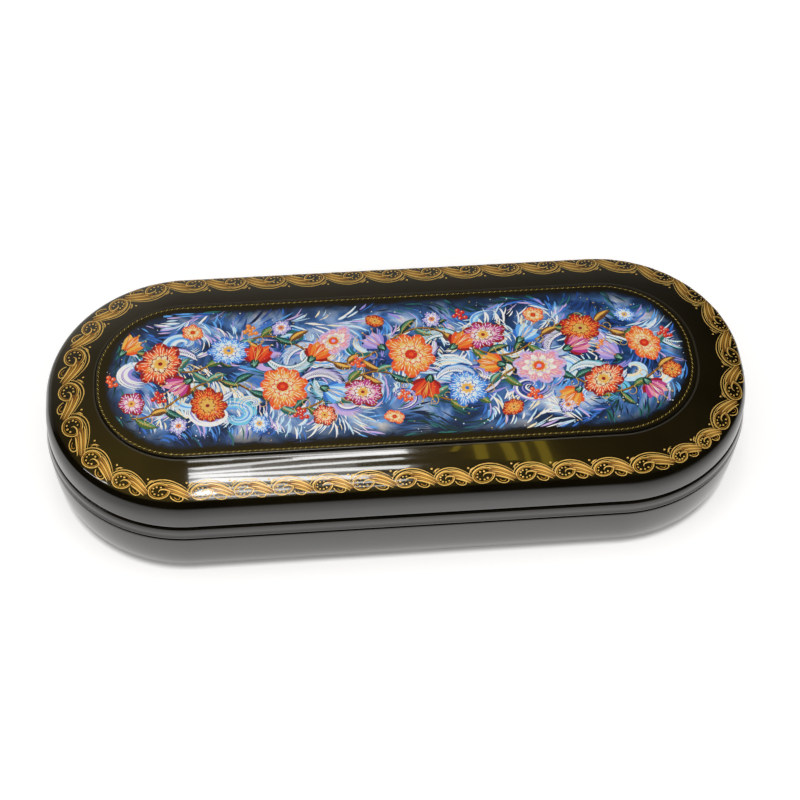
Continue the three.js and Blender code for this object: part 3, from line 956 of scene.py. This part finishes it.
def picture(art):
    rng = random.Random(21)
    wind(art, rng)

    snowy = ("sky", "ice", "white", "cream", "ice")
    dusk = ("deep_blue", "lavender", "lilac", "white")
    lagoon = ("teal", "cyan", "ice", "sky")
    for k in range(34):
        x = -66 + 132 * (k + rng.random()) / 34
        y = rng.uniform(-14, 14)
        turn = rng.choice((-1, 1)) * rng.uniform(4.2, 6.4)
        tones = (snowy, dusk, lagoon, snowy)[k % 4]
        size = rng.uniform(4, 7)
        frost_scroll(art, rng, (x, y), size, rng.uniform(0, 6.3), turn, tones)

    frost = ("deep_blue", "sky", "white")
    cool = ("navy", "lavender", "white")
    sea = ("pine", "cyan", "white")
    for k in range(17):
        x = -64 + 8 * k + rng.uniform(-1.5, 1.5)
        hand = 1 if k % 2 else -1
        angle = hand * rng.uniform(0.7, 1.1) + (math.pi if k % 4 > 1 else 0)
        size = rng.uniform(11, 15)
        tones = (frost, sea, cool)[k % 3]
        plume(art, rng, (x, -hand * 5), angle, size, -hand * 2.5, tones, hand)

    greens = [
        ("pine", "leaf", "pale_gold"), ("teal", "mint", "gold"), ("moss", "leaf", "pale_gold"),
        ("pine", "teal", "mint"), ("brown", "amber", "pale_gold"),
    ]
    for row in (-1, 1):
        art.level = VINES
        path = np.array([vine_at(x, row) for x in np.linspace(-64, 64, 140)])
        art.stroke(path, 0.6, "brown")
        art.level += COAT
        art.stroke(path + (0.08, 0.1), 0.2, "gold")
        for k, x in enumerate(np.arange(-63, 64, 3.4)):
            place = vine_at(x, row)
            hand = 1 if k % 2 else -1
            angle = hand * rng.uniform(0.6, 1.3)
            green = greens[rng.randrange(len(greens))]
            leaf(art, place, angle, rng.uniform(4.2, 6.4), 2.2, green, -hand * 0.8)
            tendril = curve(place, -hand, 5.0, -hand * 4.8, 16, 1.6)
            art.stroke(tendril, 0.17 * taper(16, 1.0, 0.5, 0.2), "pale_gold")
            art.dot(tendril[-1], 0.22, "pale_gold")

    warm = ("crimson", "scarlet", "orange", "cream", "amber")
    sun = ("scarlet", "orange", "amber", "cream", "red")
    snow = ("blue", "sky", "ice", "white", "amber")
    rose = ("crimson", "magenta", "pink", "white", "amber")
    violet = ("deep_blue", "lavender", "lilac", "white", "orange")
    flame = ("crimson", "red", "scarlet", "amber", "pale_gold")
    pearl = ("lilac", "pink", "white", "cream", "scarlet")
    for centre, radius, tones, petals in (
        ((-57, 4.5), 6.6, warm, 8), ((-46, -9), 5.6, flame, 9), ((-40.5, 7.5), 5.4, snow, 9),
        ((-28, -4.5), 6.8, sun, 9), ((-15, 8.8), 5.6, pearl, 8), ((-9, -7.5), 5.4, rose, 8),
        ((3.5, 3.2), 7.2, sun, 9), ((16, -8), 5.8, snow, 9), ((21.5, 8.2), 5.6, rose, 8),
        ((34, -2.5), 6.6, pearl, 9), ((45.5, 8.6), 5.2, flame, 8), ((49, -7.5), 5.8, warm, 8),
        ((60.5, 3.0), 5.6, sun, 8), ((-64, -7), 3.6, rose, 6), ((-53, -14.4), 2.6, violet, 6),
        ((-49, 14), 2.8, sun, 6), ((-34, -15), 2.8, snow, 6), ((-27.5, 14), 3.0, violet, 6),
        ((-18.5, -13.6), 3.2, warm, 6), ((-2, -15.2), 2.6, sun, 6), ((-4.5, 14.6), 2.7, flame, 6),
        ((9.5, 14.2), 2.9, violet, 6), ((26.5, -14.4), 3.0, flame, 6), ((34.5, 13.8), 3.0, sun, 6),
        ((39.5, -14.6), 2.7, violet, 6), ((57, 12.4), 2.8, snow, 6), ((66, -5.5), 3.0, flame, 6),
    ):
        blossom(art, rng, centre, radius, tones, petals)
    for root, angle, size, tones in (
        ((-66.5, 8.5), 0.9, 6.5, sun), ((-50, -1), -2.6, 6.5, rose),
        ((-34.5, 2.5), 1.3, 7, flame), ((-21, 3), 0.9, 6.5, warm),
        ((-18.5, -5.5), -0.5, 6.5, snow), ((-3, 5.5), 2.3, 6.5, violet),
        ((7.5, -4), -1.9, 7, flame), ((13.5, 4.5), 0.7, 6.5, warm), ((25.5, -1.5), 2.9, 6.5, sun),
        ((30, 5.5), 0.9, 6.5, snow), ((41, 2.2), 0.4, 7, rose), ((43, -10), -2.4, 6, sun),
        ((54, -1.5), 2.4, 6.5, violet), ((59, -8.5), -0.9, 6.5, rose),
    ):
        bell(art, rng, root, angle, size, tones)
    for centre, tone in (
        ((-69, 0), "scarlet"), ((-57.5, -6), "red"), ((-35, 13.5), "orange"),
        ((-24, -13), "red"), ((1, -9.5), "scarlet"), ((16.5, 15), "red"),
        ((32, -11), "scarlet"), ((50.5, 2.5), "orange"), ((66, 6), "red"),
        ((-9.5, 1.5), "scarlet"),
    ):
        berries(art, centre, tone)

    art.level = SPARKS
    for _ in range(SPARK_COUNT):
        place = (rng.uniform(-PICTURE_HALF_X, PICTURE_HALF_X), rng.uniform(-20, 20))
        art.dot(place, rng.uniform(0.08, 0.2), rng.choice(("white", "ice", "pale_gold")), sides=6)


picture_art = Painting(panel_surface, 0.003, inside=in_picture)
picture(picture_art)
painted = picture_art.build("painted_flowers", PAINTS)
dress(painted, "lid", "picture_paint")


# Gold scroll border -------------------------------------------------------

# Length of each hand-painted repeat, from the front round to the right.
UNIT_LENGTHS = [
    10, 9, 9.3, 9.2, 10, 9.6, 8.4, 10.3, 9.2, 9.2, 9.2, 10, 7.5, 6.9, 9.6, 10.2, 10.8,
    *[9.85] * 15, 10.8, 10, 10, 11.7, 10.8, 11.7, 10, 9.2, 10,
]
BORDER_LEVEL = 0.012
BORDER_MIDDLE = 4.6
RELIEF = 0.006
DOT_RELIEF = 0.014


def border_inset(y, right, back):
    """Inset of the border's lines. The band runs nearer the edge on the right."""
    outer = 2.2 - 1.25 * right - 0.45 * back + 0.4 * right ** 2
    outer = outer - 0.85 * right * np.minimum(back, 0) * (1 - right)
    return outer + y * (0.95 + 0.12 * back + 0.1 * right ** 2 - 0.03 * right)


border_surface, border_length = around(BORDER_MIDDLE, lid_height, border_inset)


def scroll_unit(art, x0, length, rng):
    """One repeat: a dotted loop, a fan of feather strokes and two arcs over them."""
    wide = length / 9.5
    high = wide ** 0.6

    def at(x, y):
        return (x0 + wide * x + rng.uniform(-0.06, 0.06), high * y + rng.uniform(-0.05, 0.05))

    def sweep(tone, width, n, points, *shape):
        """Stroke with four control points, tapered where a shape is given."""
        line = bezier(*[at(x, y) for x, y in points], n)
        art.stroke(line, width * taper(n, *shape) if shape else width, tone, RELIEF)

    art.level = BORDER_LEVEL
    turn = np.linspace(0, 2 * math.pi, 29)[:-1]
    for size, width, tone in ((1.0, 0.25, "pale_gold"), (0.83, 0.15, "gold")):
        ring = np.array([at(2.75 + 2.4 * size * math.cos(a) + 0.3 * size * math.sin(a),
                            2.35 + 2.15 * size * math.sin(a)) for a in turn])
        ring = (ring + np.roll(ring, 1, 0) + np.roll(ring, -1, 0)) / 3
        art.stroke(ring, width, tone, RELIEF, closed=True)
    for number in range(7):
        angle = math.radians(75 + 41 * number)
        place = at(2.6 + 1.3 * math.cos(angle), 2.3 + 1.12 * math.sin(angle))
        art.dot(place, 0.22 + rng.uniform(-0.03, 0.05), "pale_gold", DOT_RELIEF)
    art.level += COAT
    comma = (5.3, 2.5), (4.1, 3.3), (2.6, 3.0), (2.7, 2.0)
    sweep("pale_gold", 0.36, 10, comma, 0.9, 0.2, 0.3)
    under = (3.9, 3.6), (6.2, 3.4), (8.0, 2.5), (9.9, 1.1)
    sweep("bronze", 2.5, 12, under, 0.3, 0.3, 0.35)
    for k in range(5):
        art.level += COAT
        start = at(4.0 + 0.35 * k, 4.55 - 0.62 * k)
        end = at(10.0 - 0.2 * k, 1.75 - 0.33 * k)
        line = bezier(start, at(6.0, 4.55 - 0.62 * k), at(8.0, 3.4 - 0.52 * k), end, 12)
        tone = ("pale_gold", "gold")[k % 2]
        art.stroke(line, (0.42, 0.26)[k % 2] * taper(12, 0.35, 0.2, 0.5), tone, RELIEF)
    art.level += COAT
    for rise, width in ((0.0, 0.24), (0.6, 0.17)):
        arch = (0.3 + rise, 5.7 - rise), (5.2, 7.3 - 1.7 * rise)
        over = (-0.5 + rise, 2.4), *arch, (9.4 - rise, 2.8)
        sweep("pale_gold", width, 18, over, 0.5, 0.4, 0.5)
    sweep("pale_gold", 0.22, 12, ((5.3, 1.3), (5.9, -0.5), (8.6, -0.3), (8.0, 1.1)))
    sweep("gold", 0.15, 8, ((6.2, 1.1), (6.6, 0.3), (7.5, 0.3), (7.4, 1.0)))
    art.dot(at(8.9, 5.1), 0.26, "pale_gold", DOT_RELIEF)
    for low in (0, 0.35):
        sprig = (9.2 + low, 3.9 - low), (9.5, 4.8), (10.2, 5.2), (10.8, 5.2 - 2 * low)
        sweep("pale_gold", 0.18, 7, sprig, 0.25, 0.1, 0.4)


border_art = Painting(border_surface, BORDER_LEVEL)
border_rng = random.Random(7)
stretch = border_length / sum(UNIT_LENGTHS)
unit_start = 0.0
for length in UNIT_LENGTHS:
    scroll_unit(border_art, unit_start, length * stretch, border_rng)
    unit_start += length * stretch
border = border_art.build("gold_scroll_border", PAINTS)
dress(border, "lid", "brass")


# Twisted gold line round the picture --------------------------------------

ROPE_INSET = 14.05
TWISTS = 520


def rope_height(inset):
    return crown_height(inset), np.zeros(np.shape(inset))


def rope_inset(y, right, back):
    return ROPE_INSET + y + 0.3 * right


rope_surface, rope_length = around(ROPE_INSET, rope_height, rope_inset)
rope_art = Painting(rope_surface, 0.01, step=0)
for k in range(TWISTS):
    x = k * rope_length / TWISTS
    line = bezier((x - 0.3, -0.16), (x - 0.1, -0.14), (x + 0.1, 0.14), (x + 0.3, 0.16), 5)
    tone = ("rope_gold", "old_gold")[k % 2]
    rope_art.stroke(line, 0.16 * taper(5, 0.5, 0.5, 0.5), tone, 0.03)
rope = rope_art.build("gold_rope_line", PAINTS)
dress(rope, "lid", "brass")

# Painted highlight: a paler line round the recess's edge stands in for the gleam where the lacquer
# turns over it.
HIGHLIGHT_LINE_INSET = 12.7
PAINTS["painted_highlight"] = paint("painted_edge_highlight", (0.02, 0.019, 0.016), 0.0, 0.35)


def highlight_line_inset(y, right, back):
    return HIGHLIGHT_LINE_INSET + y


highlight_surface, highlight_length = around(HIGHLIGHT_LINE_INSET, lid_height, highlight_line_inset)
highlight_art = Painting(highlight_surface, 0.004)
highlight_points = [(highlight_length * part, 0.0) for part in (*np.arange(239) / 240, 0.9999)]
# The painted highlight: one pale strip laid all round the recess edge.
highlight_art.stroke(highlight_points, 0.38, "painted_highlight", 0.012)
edge_highlight = highlight_art.build("recess_edge_highlight", PAINTS)
dress(edge_highlight, "lid", "black_lacquer")


# Hinges -------------------------------------------------------------------

def lathe(profile, centre, steps=32, closed=False):
    """Turned piece along X; a profile point is a radius and a place on X."""
    verts = [
        (centre[0] + x, centre[1] + radius * math.cos(a), centre[2] + radius * math.sin(a))
        for radius, x in profile for a in np.arange(steps) * 2 * math.pi / steps
    ]
    return verts, skin(steps, len(profile), closed)


def box(low, high):
    xs, ys, zs = zip(low, high)
    verts = [(x, y, z) for x in xs for y in ys for z in zs]
    faces = [(0, 1, 3, 2), (4, 6, 7, 5), (0, 4, 5, 1), (2, 3, 7, 6), (0, 2, 6, 4), (1, 5, 7, 3)]
    return verts, faces


def forge(name, pieces, bevel=0.0):
    verts = []
    faces = []
    for piece_verts, piece_faces in pieces:
        start = len(verts)
        verts.extend(piece_verts)
        faces.extend(tuple(start + i for i in face) for face in piece_faces)
    obj = make_object(name, verts, faces, [hinge_brass], sharp=35)
    if bevel:
        cut = obj.modifiers.new("bevel", "BEVEL")
        cut.width = bevel * MM
        cut.segments = 3
        cut.limit_method = "ANGLE"
        cut.angle_limit = math.radians(60)
    return obj


def knuckle(x0, x1):
    """Tube round the pin with its rims eased."""
    ease = 0.15
    profile = [(BORE_RADIUS, x0)]
    for x, way in ((x0, 1), (x1, -1)):
        bend = [
            (KNUCKLE_RADIUS - ease * (1 - math.sin(a)), x + way * ease * (1 - math.cos(a)))
            for a in np.linspace(0, math.pi / 2, 4)
        ]
        profile += bend[::way]
    profile.append((BORE_RADIUS, x1))
    return lathe(profile, (0, PIN_Y, PIN_Z), closed=True)


def hinge_leaf(centre, direction, reach, spans):
    """Plate with its rolled knuckles: the base leaf hangs down, the lid leaf stands up."""
    half = HINGE_WIDTH / 2
    near = PIN_Z + direction * (KNUCKLE_RADIUS + SEAT_GAP)
    far = PIN_Z + direction * reach
    low, high = sorted((near, far))
    pieces = [box((centre - half, LEAF_FACE, low), (centre + half, LEAF_BACK, high))]
    for x0, x1 in spans:
        root = PIN_Z + direction * 0.5
        low, high = sorted((near + direction, root))
        pieces.append(box((centre + x0, LEAF_FACE, low), (centre + x1, LEAF_BACK, high)))
        pieces.append(knuckle(centre + x0, centre + x1))
    return pieces


def stop_nib(centre):
    """Nib on the lid's knuckle that meets the base leaf when the lid is open."""
    rise, thick = 0.8, 0.6
    reach = KNUCKLE_RADIUS + rise
    ahead = math.atan2(thick / 2, reach)
    corner = math.hypot(thick / 2, reach)
    landing = math.acos((LEAF_THICKNESS - KNUCKLE_RADIUS + 0.05) / corner) - ahead
    turn = OPEN_ANGLE - landing
    half = CENTRE_KNUCKLE / 2
    root = BORE_RADIUS + thick / 2
    verts, faces = box((centre - half, root, -thick / 2), (centre + half, reach, thick / 2))
    sin, cos = math.sin(turn), math.cos(turn)
    return [(x, PIN_Y + y * cos - z * sin, PIN_Z + y * sin + z * cos) for x, y, z in verts], faces


NAIL_LENGTH = 3.0
NAIL_RADIUS = 0.35
HEAD_RADIUS = 0.8
HEAD_RISE = 0.35
PIN_RADIUS = 0.6
PIN_HEAD = 1.0


def domed_nail(name, x, z):
    profile = [
        (0.02, -NAIL_LENGTH), (NAIL_RADIUS, 0.4 - NAIL_LENGTH), (NAIL_RADIUS, 0.0),
        (HEAD_RADIUS - 0.06, 0.0), (HEAD_RADIUS, 0.06),
    ]
    for a in np.linspace(0.1, 1.5, 7):
        profile.append((HEAD_RADIUS * math.cos(a), 0.1 + HEAD_RISE * math.sin(a)))
    verts, faces = lathe(profile, (0, 0, 0), 24)
    return forge(name, [([(x - y, LEAF_BACK + out, z + up) for out, y, up in verts], faces)])


for side, centre in (("left", -HINGE_X), ("right", HINGE_X)):
    half = HINGE_WIDTH / 2
    middle = CENTRE_KNUCKLE / 2
    inner = middle + SEAT_GAP
    pieces = hinge_leaf(centre, -1, BASE_LEAF, [(-half, -inner), (inner, half)])
    dress(forge(f"{side}_base_leaf", pieces, 0.1), "base", "brass", f"{side}_hinge_base_leaf")
    pieces = hinge_leaf(centre, 1, LID_LEAF, [(-middle, middle)]) + [stop_nib(centre)]
    dress(forge(f"{side}_lid_leaf", pieces, 0.1), "lid", "brass", f"{side}_hinge_lid_leaf")
    tip = half + 0.2
    head = [
        (PIN_RADIUS, tip), (PIN_HEAD, tip), (PIN_HEAD, tip + 0.2),
        (PIN_HEAD - 0.2, tip + 0.42), (PIN_HEAD - 0.6, tip + 0.5),
    ]
    pin_profile = [(radius, -x) for radius, x in reversed(head)] + head
    pin = forge(f"{side}_pin", [lathe(pin_profile, (centre, PIN_Y, PIN_Z))])
    dress(pin, "base", "brass", f"{side}_hinge_pin")
    for body, direction, reach in (("base", -1, BASE_LEAF), ("lid", 1, LID_LEAF)):
        for number in (1, 2):
            x = centre + (number * 2 - 3) * NAIL_SPREAD
            place = (x, PIN_Z + direction * (reach - NAIL_EDGE))
            nail = domed_nail(f"{side}_{body}_nail_{number}", *place)
            dress(nail, body, "brass", f"{side}_hinge_{body}_nail_{number}")


# Floor, light and camera --------------------------------------------------

FLOOR_HALF = 3000
FLOOR_COLOUR = (0.62, 0.612, 0.604, 1)
FLOOR_GLOW = (1, 0.995, 0.985, 1)
ROOM_FLOOR = (0.9, 0.85, 0.75, 1)
SEEN_GLOW = 0.5
GLEAM_GLOW = 0.42
# Reach of the case's foot, in metres, where the floor's painted shadow is darkest.
CASE_FOOT = 0.0323


def make_floor():
    """Pale floor that the camera sees white, with a painted shadow: its glow fades
    close under the case, both as the camera sees it and in what gleams. In what gleams it
    also darkens far off and beside the ends, as in a room."""
    corners = [(x * FLOOR_HALF, y * FLOOR_HALF, 0) for x, y in ((-1, -1), (1, -1), (1, 1), (-1, 1))]
    floor = make_object("floor", corners, [(0, 1, 2, 3)], [])
    made = bpy.data.materials.new("pale_floor")
    made.use_nodes = True
    tree = made.node_tree
    tree.nodes.remove(tree.nodes["Principled BSDF"])
    path = add_node(made, "ShaderNodeLightPath").outputs
    direct = Number(made, path["Is Camera Ray"]).at_least(path["Is Transmission Ray"])
    gleam = Number(made, path["Is Glossy Ray"])
    place = add_node(made, "ShaderNodeTexCoord").outputs["Object"]
    x = split(made, place)[0]
    reach = spine_reach(made, place)

    fade = (reach + (x - 0.06).at_least(0.0) * 1.5).rise(0.055, 3.6) ** 0.65
    ends = abs(x).rise(0.062, 28.0) * 0.4
    # Painted shadow: the floor's glow is scaled from 0.1 at the case's foot up to 1.1 about 1.3 mm
    # out.
    painted_shadow_ramp = reach.rise(CASE_FOOT, 750.0) + 0.1
    strength = (direct * SEEN_GLOW + gleam * GLEAM_GLOW) * painted_shadow_ramp
    diffuse = add_node(made, "ShaderNodeBsdfDiffuse", {"Color": FLOOR_COLOUR})
    glow = add_node(made, "ShaderNodeEmission", {"Color": FLOOR_GLOW, "Strength": strength})
    both = add_node(made, "ShaderNodeAddShader", {0: diffuse.outputs[0], 1: glow.outputs[0]})
    dim = add_node(made, "ShaderNodeEmission", {"Color": ROOM_FLOOR, "Strength": 0.08})
    shaders = {0: fade.at_least(ends) * gleam, 1: both.outputs[0], 2: dim.outputs[0]}
    mix = add_node(made, "ShaderNodeMixShader", shaders)
    tree.links.new(mix.outputs[0], tree.nodes["Material Output"].inputs["Surface"])
    floor.data.materials.append(made)


make_floor()


def area_light(name, place, target, size, radiance, colour=(1, 1, 1)):
    """Rectangular lamp whose face shows the given radiance."""
    data = bpy.data.lights.new(name, "AREA")
    data.shape = "RECTANGLE"
    data.size, data.size_y = size
    data.energy = radiance * math.pi * size[0] * size[1]
    data.color = colour
    obj = bpy.data.objects.new(name, data)
    obj.location = place
    obj.rotation_euler = (Vector(target) - Vector(place)).to_track_quat("-Z", "Y").to_euler()
    bpy.context.scene.collection.objects.link(obj)
    return obj


PLAIN_LIGHT = 0.08
CEILING_COLOUR = (1.0, 0.7, 0.17)
CEILING_LIGHT = 0.35
HORIZON_COLOUR = (1.0, 0.92, 0.76)
HORIZON_LIGHT = 0.56


def make_world():
    """Plain soft light, and for what gleams a dim warm room: an amber ceiling,
    brighter on the left, and a paler horizon behind the case."""
    world = bpy.data.worlds.new("studio")
    bpy.context.scene.world = world
    world.use_nodes = True
    tree = world.node_tree
    place = add_node(world, "ShaderNodeTexCoord").outputs["Generated"]
    x, y, z = split(world, place)
    cloud = noise(world, 2.2, 3, 0.5, place) + 0.5

    def glow(colour, light, factor):
        strength = (factor * cloud).at_least(0.0) * light
        return add_node(
            world, "ShaderNodeBackground", {"Color": (*colour, 1), "Strength": strength},
        )

    behind = y.rise(0.35, 1.55) * (1.0 - abs(z)) ** 1.5
    horizon = glow(HORIZON_COLOUR, HORIZON_LIGHT, behind * (1.0 - x * 1.8))
    above = z.at_least(0.0) ** 3.0 * (y.rise(-0.32, 3.2) * x.rise(-0.66, 4.5))
    across = (1.0 - x * 1.4).at_most(1.5 - x * 7.0).at_least(0.3)
    ceiling = glow(CEILING_COLOUR, CEILING_LIGHT, above * across)
    room = add_node(world, "ShaderNodeAddShader", {0: ceiling.outputs[0], 1: horizon.outputs[0]})
    plain = tree.nodes["Background"]
    plain.inputs["Color"].default_value = (1.0, 0.98, 0.95, 1)
    plain.inputs["Strength"].default_value = PLAIN_LIGHT
    gleam = add_node(world, "ShaderNodeLightPath").outputs["Is Glossy Ray"]
    shaders = {0: gleam, 1: plain.outputs[0], 2: room.outputs[0]}
    mix = add_node(world, "ShaderNodeMixShader", shaders)
    tree.links.new(mix.outputs[0], tree.nodes["World Output"].inputs["Surface"])


make_world()
for name, place, size, radiance in (
    ("sky_panel", (0, 0.1, 1.3), (1.6, 1.4), 1.0),
    ("front_softbox", (0, -1.0, 0.9), (1.4, 0.8), 2.0),
    ("left_softbox", (-0.95, -0.35, 0.55), (1.0, 0.8), 1.9),
    ("right_softbox", (0.95, -0.35, 0.55), (1.0, 0.8), 1.5),
):
    area_light(name, place, (0, 0, 0.02), size, radiance).visible_glossy = False

# A window overhead with bent blinds, seen in the lid as rows of bright lines.
# Each slat: place on Y at its left and right end, left and right end on X, width,
# brightness. The last five are the paler glow between and below the slats.
SLATS = [
    (353, 353, -62, 42, 9, 0.9), (326, 312, -97, 60, 11, 0.8), (300, 274, -97, 66, 24, 0.8),
    (254, 256, -18, 66, 26, 1.2), (212, 250, -96, -14, 20, 0.9), (172, 204, -97, 64, 18, 1.0),
    (150, 128, -95, 66, 28, 1.0), (118, 60, -96, 46, 32, 1.05), (40, 44, -72, -24, 12, 0.8),
    (24, 22, 2, 64, 11, 0.9), (14, 4, -92, -22, 16, 0.8), (-26, -34, -92, 10, 14, 0.7),
    (-8, -12, 20, 62, 8, 0.7), (-62, -70, -92, -30, 14, 0.6),
    (20, 16, -92, -73, 50, 1.3), (309, 303, -97, -60, 36, 0.5), (150, 150, -97, -50, 170, 0.3),
    (150, 150, -52, 30, 170, 0.12), (0, 0, -92, -20, 110, 0.15),
]
SLAT_RADIANCE = 9.5
SLAT_HEIGHT = 1.0
for number, (left_y, right_y, left, right, slat_width, level) in enumerate(SLATS):
    x, y = (left + right) / 2 * MM, (left_y + right_y) / 2 * MM
    slat = area_light(
        f"window_slat_{number}", (x, y, SLAT_HEIGHT + 0.004 * number), (x, y, 0),
        ((right - left) * MM, slat_width * MM), SLAT_RADIANCE * level,
    )
    slat.rotation_euler = (0, 0, math.atan2(right_y - left_y, right - left))

# What else the room shows: a small bright pane on the left, and amber leaves
# beside the window. Each leaf: place on X and Y, turn, length and width.
area_light("side_pane", (-0.65, 0.14, 1.0), (-0.07, -0.02, 0.03), (0.06, 0.24), 8)
FRONDS = [
    (101, 262, 1.48, 60, 5), (118, 236, 1.565, 170, 9), (138, 226, 1.58, 200, 8),
    (150, 206, 1.57, 240, 4), (163, 200, 1.575, 260, 8),
]
FROND_COLOUR = (1.0, 0.72, 0.05)
FROND_RADIANCE = 1.6
for number, (x, y, turn, length, width) in enumerate(FRONDS):
    frond = area_light(
        f"amber_frond_{number}", (x * MM, y * MM, SLAT_HEIGHT), (x * MM, y * MM, 0),
        (length * MM, width * MM), FROND_RADIANCE, FROND_COLOUR,
    )
    frond.rotation_euler = (0, 0, turn)


def make_camera():
    """Camera fitted to the photograph: the focal length and the shift in pixels of
    an 800-pixel image, angles in radians, the distance in millimetres."""
    image, sensor = 800, 36
    focal, yaw, pitch, roll = 2095.83, 0.100804, 0.906195, 0.022937
    shift_x, shift_y, distance = -3.735, -40.771, 528.91
    level = math.cos(pitch)
    forward = Vector((math.sin(yaw) * level, math.cos(yaw) * level, -math.sin(pitch)))
    right = Vector((math.cos(yaw), -math.sin(yaw), 0))
    up = right.cross(forward)
    across = math.cos(roll) * right + math.sin(roll) * up
    upright = -math.sin(roll) * right + math.cos(roll) * up
    place = -(shift_x / focal * distance) * across - (shift_y / focal * distance) * upright
    place -= distance * forward
    data = bpy.data.cameras.new("camera")
    data.sensor_width = sensor
    data.lens = focal / image * sensor
    camera = bpy.data.objects.new("camera", data)
    turn = Matrix((across, upright, -forward)).transposed()
    camera.matrix_world = Matrix.Translation(place * MM) @ turn.to_4x4()
    bpy.context.scene.collection.objects.link(camera)
    bpy.context.scene.camera = camera


make_camera()
bpy.context.scene.view_settings.view_transform = "Standard"
